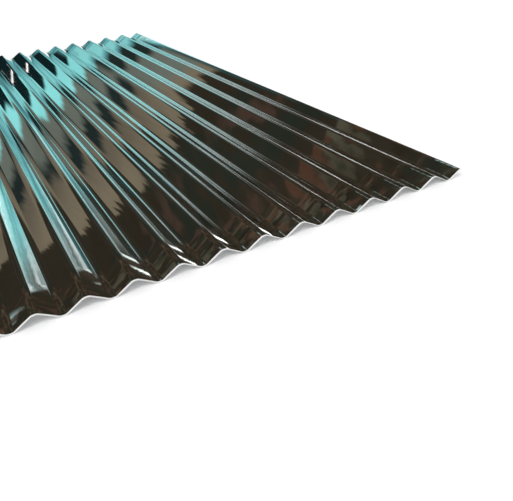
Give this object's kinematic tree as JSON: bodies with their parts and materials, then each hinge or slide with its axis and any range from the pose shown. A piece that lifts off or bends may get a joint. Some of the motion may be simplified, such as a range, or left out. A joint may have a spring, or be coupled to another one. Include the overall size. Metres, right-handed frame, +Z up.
{
  "type": "corrugated metal sheet",
  "caption": "Long rectangular sheet of bright galvanised steel, rolled into round waves that run its whole length, for roofing, cladding or fencing.",
  "frame": {"origin": "middle of the sheet, on the level surface that the undersides of its valleys rest on", "axes": "+X across the waves, +Y along the waves, which is the cut length, +Z up out of the upper face"},
  "size_m": [0.9004, 2, 0.0188],
  "materials": {
    "galvanised_steel": "bright mirror-like zinc coating, new and unpainted, with faint marks along the waves from the rolls"
  },
  "bodies": {
    "root": {"corrugated_sheet": "galvanised_steel"}
  },
  "joints": []
}
